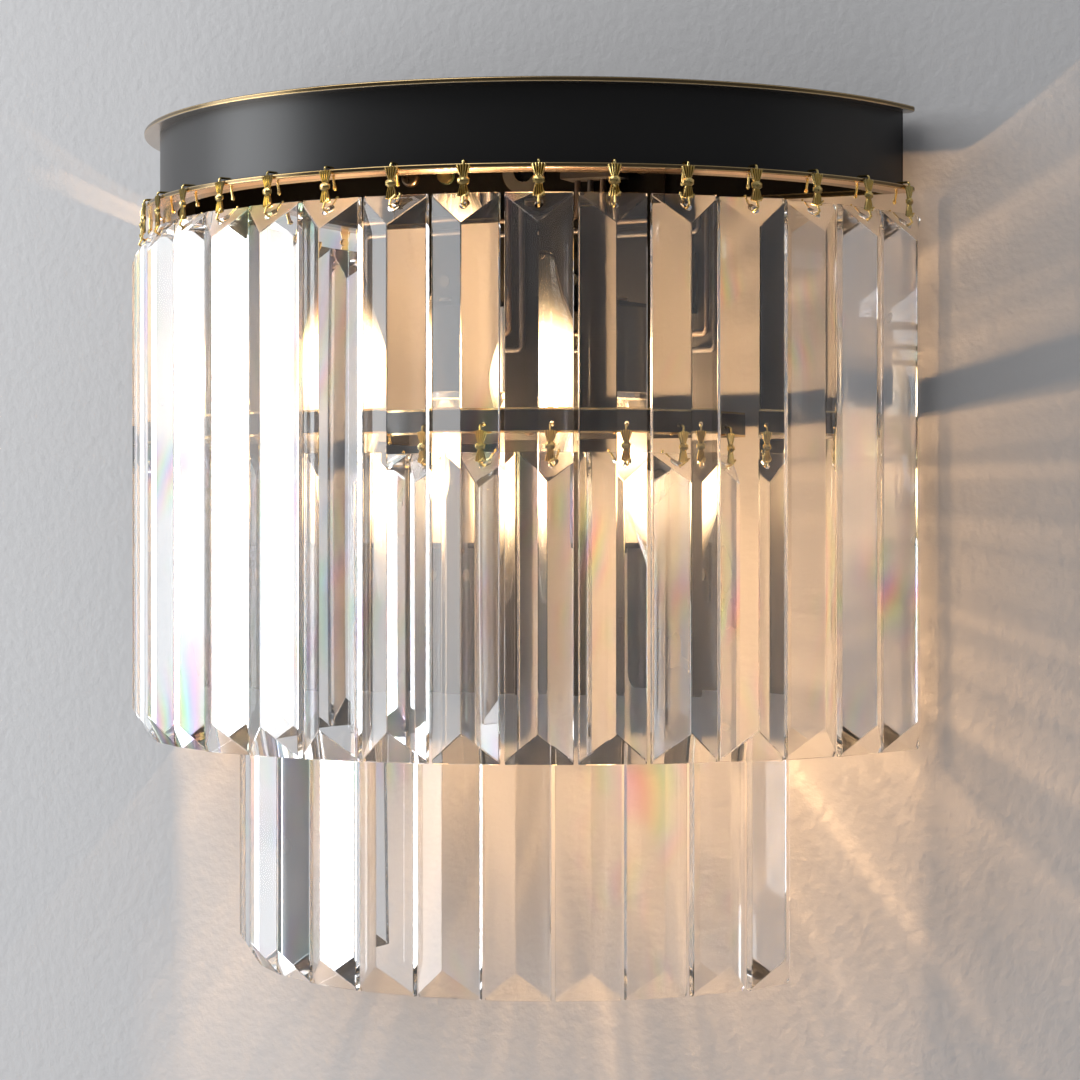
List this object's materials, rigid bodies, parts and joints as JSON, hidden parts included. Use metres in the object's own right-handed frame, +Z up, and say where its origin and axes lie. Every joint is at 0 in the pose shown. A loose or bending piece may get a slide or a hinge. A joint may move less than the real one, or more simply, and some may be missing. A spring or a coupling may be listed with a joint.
{
  "type": "crystal wall sconce",
  "caption": "Half-round wall sconce with a black and gold drum and two curved tiers of hanging crystal drops around a pair of candle lamps.",
  "frame": {"origin": "on the wall plane, midway between the two wall holes of the bracket", "axes": "+X to the right as seen from the room, +Y into the wall, +Z up"},
  "size_m": [0.3029, 0.138, 0.3031],
  "materials": {
    "zinc_steel": "zinc-plated sheet",
    "plate_metal": "black enamel with a gold rim",
    "black_metal": "satin black powder coat",
    "screw_steel": "dark bronze plated steel",
    "screw_brass": "plain",
    "contact_brass": "plain",
    "clip_brass": "bright stamped and drawn wire",
    "holder_plastic": "moulded, heat resistant",
    "block_plastic": "moulded",
    "bulb_glass": "clear, thin",
    "cap_metal": "screw cap",
    "filament": "glowing filament on a clear glass stem",
    "live_sheath": "dark brown heat-proof sleeve",
    "neutral_sheath": "blue-black heat-proof sleeve",
    "earth_sheath": "dark green heat-proof sleeve",
    "grommet_rubber": "soft",
    "crystal": "clear cut crystal, polished"
  },
  "bodies": {
    "sconce": {"arm_rivets": "screw_steel", "back_plate": "black_metal", "bar_screws": "screw_steel", "bulb_caps": "cap_metal", "bulb_filaments": "filament", "cable_grommet": "grommet_rubber", "drum_back": "black_metal", "drum_band": "black_metal", "earth_screw": "screw_brass", "earth_wire": "earth_sheath", "fixing_screws": "screw_steel", "holder_contacts": "contact_brass", "holder_screws": "screw_steel", "inner_back_bar": "black_metal", "inner_clips": "clip_brass", "inner_ring_band": "plate_metal", "live_wires": "live_sheath", "lower_bulb_glass": "bulb_glass", "lower_lamp_arm": "black_metal", "lower_lamp_holder": "holder_plastic", "lower_ring": "plate_metal", "neutral_wires": "neutral_sheath", "outer_clips": "clip_brass", "terminal_block": "block_plastic", "terminal_screws": "screw_steel", "top_plate": "plate_metal", "upper_bulb_glass": "bulb_glass", "upper_lamp_arm": "black_metal", "upper_lamp_holder": "holder_plastic", "wall_bracket": "zinc_steel"},
    "outer_drop_01": {"outer_drop_01": "crystal"},
    "outer_drop_02": {"outer_drop_02": "crystal"},
    "outer_drop_03": {"outer_drop_03": "crystal"},
    "outer_drop_04": {"outer_drop_04": "crystal"},
    "outer_drop_05": {"outer_drop_05": "crystal"},
    "outer_drop_06": {"outer_drop_06": "crystal"},
    "outer_drop_07": {"outer_drop_07": "crystal"},
    "outer_drop_08": {"outer_drop_08": "crystal"},
    "outer_drop_09": {"outer_drop_09": "crystal"},
    "outer_drop_10": {"outer_drop_10": "crystal"},
    "outer_drop_11": {"outer_drop_11": "crystal"},
    "outer_drop_12": {"outer_drop_12": "crystal"},
    "outer_drop_13": {"outer_drop_13": "crystal"},
    "outer_drop_14": {"outer_drop_14": "crystal"},
    "outer_drop_15": {"outer_drop_15": "crystal"},
    "outer_drop_16": {"outer_drop_16": "crystal"},
    "outer_drop_17": {"outer_drop_17": "crystal"},
    "outer_drop_18": {"outer_drop_18": "crystal"},
    "inner_drop_01": {"inner_drop_01": "crystal"},
    "inner_drop_02": {"inner_drop_02": "crystal"},
    "inner_drop_03": {"inner_drop_03": "crystal"},
    "inner_drop_04": {"inner_drop_04": "crystal"},
    "inner_drop_05": {"inner_drop_05": "crystal"},
    "inner_drop_06": {"inner_drop_06": "crystal"},
    "inner_drop_07": {"inner_drop_07": "crystal"},
    "inner_drop_08": {"inner_drop_08": "crystal"},
    "inner_drop_09": {"inner_drop_09": "crystal"},
    "inner_drop_10": {"inner_drop_10": "crystal"},
    "inner_drop_11": {"inner_drop_11": "crystal"},
    "inner_drop_12": {"inner_drop_12": "crystal"}
  },
  "joints": [
    {"name": "outer_drop_01_swing", "type": "hinge", "parent": "sconce", "child": "outer_drop_01", "pos_m": [-0.14584, -0.01314, -0.0218], "axis": [-0.1959, 0.9806, 0], "range_deg": [-1.5, 15]},
    {"name": "outer_drop_02_swing", "type": "hinge", "parent": "sconce", "child": "outer_drop_02", "pos_m": [-0.13925, -0.03623, -0.0218], "axis": [-0.3512, 0.9363, 0], "range_deg": [-1.5, 15]},
    {"name": "outer_drop_03_swing", "type": "hinge", "parent": "sconce", "child": "outer_drop_03", "pos_m": [-0.12903, -0.05795, -0.0218], "axis": [-0.4972, 0.8676, 0], "range_deg": [-1.5, 15]},
    {"name": "outer_drop_04_swing", "type": "hinge", "parent": "sconce", "child": "outer_drop_04", "pos_m": [-0.11545, -0.07775, -0.0218], "axis": [-0.6304, 0.7763, 0], "range_deg": [-1.5, 15]},
    {"name": "outer_drop_05_swing", "type": "hinge", "parent": "sconce", "child": "outer_drop_05", "pos_m": [-0.09887, -0.0951, -0.0218], "axis": [-0.747, 0.6648, 0], "range_deg": [-1.5, 15]},
    {"name": "outer_drop_06_swing", "type": "hinge", "parent": "sconce", "child": "outer_drop_06", "pos_m": [-0.0797, -0.10956, -0.0218], "axis": [-0.8443, 0.5359, 0], "range_deg": [-1.5, 15]},
    {"name": "outer_drop_07_swing", "type": "hinge", "parent": "sconce", "child": "outer_drop_07", "pos_m": [-0.05846, -0.12075, -0.0218], "axis": [-0.9503, 0.3115, 0], "range_deg": [-1.5, 15]},
    {"name": "outer_drop_08_swing", "type": "hinge", "parent": "sconce", "child": "outer_drop_08", "pos_m": [-0.0357, -0.12838, -0.0218], "axis": [-0.9748, 0.223, 0], "range_deg": [-1.5, 15]},
    {"name": "outer_drop_09_swing", "type": "hinge", "parent": "sconce", "child": "outer_drop_09", "pos_m": [-0.012, -0.13224, -0.0218], "axis": [-0.9952, 0.0981, 0], "range_deg": [-1.5, 15]},
    {"name": "outer_drop_10_swing", "type": "hinge", "parent": "sconce", "child": "outer_drop_10", "pos_m": [0.012, -0.13224, -0.0218], "axis": [-0.9967, -0.0807, 0], "range_deg": [-1.5, 15]},
    {"name": "outer_drop_11_swing", "type": "hinge", "parent": "sconce", "child": "outer_drop_11", "pos_m": [0.0357, -0.12838, -0.0218], "axis": [-0.9708, -0.24, 0], "range_deg": [-1.5, 15]},
    {"name": "outer_drop_12_swing", "type": "hinge", "parent": "sconce", "child": "outer_drop_12", "pos_m": [0.05846, -0.12075, -0.0218], "axis": [-0.9236, -0.3834, 0], "range_deg": [-1.5, 15]},
    {"name": "outer_drop_13_swing", "type": "hinge", "parent": "sconce", "child": "outer_drop_13", "pos_m": [0.0797, -0.10956, -0.0218], "axis": [-0.8396, -0.5433, 0], "range_deg": [-1.5, 15]},
    {"name": "outer_drop_14_swing", "type": "hinge", "parent": "sconce", "child": "outer_drop_14", "pos_m": [0.09887, -0.0951, -0.0218], "axis": [-0.7585, -0.6516, 0], "range_deg": [-1.5, 15]},
    {"name": "outer_drop_15_swing", "type": "hinge", "parent": "sconce", "child": "outer_drop_15", "pos_m": [0.11545, -0.07775, -0.0218], "axis": [-0.7669, -0.6418, 0], "range_deg": [-0.6, 15]},
    {"name": "outer_drop_16_swing", "type": "hinge", "parent": "sconce", "child": "outer_drop_16", "pos_m": [0.12903, -0.05795, -0.0218], "axis": [-0.4512, -0.8924, 0], "range_deg": [-0.6, 15]},
    {"name": "outer_drop_17_swing", "type": "hinge", "parent": "sconce", "child": "outer_drop_17", "pos_m": [0.13925, -0.03623, -0.0218], "axis": [-0.3017, -0.9534, 0], "range_deg": [-1.5, 15]},
    {"name": "outer_drop_18_swing", "type": "hinge", "parent": "sconce", "child": "outer_drop_18", "pos_m": [0.14584, -0.01314, -0.0218], "axis": [-0.2807, -0.9598, 0], "range_deg": [-1.5, 15]},
    {"name": "inner_drop_01_swing", "type": "hinge", "parent": "sconce", "child": "inner_drop_01", "pos_m": [-0.10226, -0.02377, -0.10405], "axis": [-0.3624, 0.932, 0], "range_deg": [-1, 12]},
    {"name": "inner_drop_02_swing", "type": "hinge", "parent": "sconce", "child": "inner_drop_02", "pos_m": [-0.09123, -0.04496, -0.10405], "axis": [-0.5556, 0.8315, 0], "range_deg": [-1, 12]},
    {"name": "inner_drop_03_swing", "type": "hinge", "parent": "sconce", "child": "inner_drop_03", "pos_m": [-0.07588, -0.06326, -0.10405], "axis": [-0.7224, 0.6915, 0], "range_deg": [-1, 12]},
    {"name": "inner_drop_04_swing", "type": "hinge", "parent": "sconce", "child": "inner_drop_04", "pos_m": [-0.05692, -0.0778, -0.10405], "axis": [-0.8549, 0.5188, 0], "range_deg": [-1, 12]},
    {"name": "inner_drop_05_swing", "type": "hinge", "parent": "sconce", "child": "inner_drop_05", "pos_m": [-0.03527, -0.0879, -0.10405], "axis": [-0.9469, 0.3214, 0], "range_deg": [-1, 12]},
    {"name": "inner_drop_06_swing", "type": "hinge", "parent": "sconce", "child": "inner_drop_06", "pos_m": [-0.01195, -0.09307, -0.10405], "axis": [-0.9941, 0.1089, 0], "range_deg": [-1, 12]},
    {"name": "inner_drop_07_swing", "type": "hinge", "parent": "sconce", "child": "inner_drop_07", "pos_m": [0.01195, -0.09307, -0.10405], "axis": [-0.9941, -0.1089, 0], "range_deg": [-1, 12]},
    {"name": "inner_drop_08_swing", "type": "hinge", "parent": "sconce", "child": "inner_drop_08", "pos_m": [0.03527, -0.0879, -0.10405], "axis": [-0.9469, -0.3214, 0], "range_deg": [-1, 12]},
    {"name": "inner_drop_09_swing", "type": "hinge", "parent": "sconce", "child": "inner_drop_09", "pos_m": [0.05692, -0.0778, -0.10405], "axis": [-0.8725, -0.4886, 0], "range_deg": [-1, 12]},
    {"name": "inner_drop_10_swing", "type": "hinge", "parent": "sconce", "child": "inner_drop_10", "pos_m": [0.07588, -0.06326, -0.10405], "axis": [-0.6852, -0.7284, 0], "range_deg": [-1, 12]},
    {"name": "inner_drop_11_swing", "type": "hinge", "parent": "sconce", "child": "inner_drop_11", "pos_m": [0.09123, -0.04496, -0.10405], "axis": [-0.4962, -0.8682, 0], "range_deg": [-1, 12]},
    {"name": "inner_drop_12_swing", "type": "hinge", "parent": "sconce", "child": "inner_drop_12", "pos_m": [0.10226, -0.02377, -0.10405], "axis": [-0.263, -0.9648, 0], "range_deg": [-1, 12]}
  ]
}
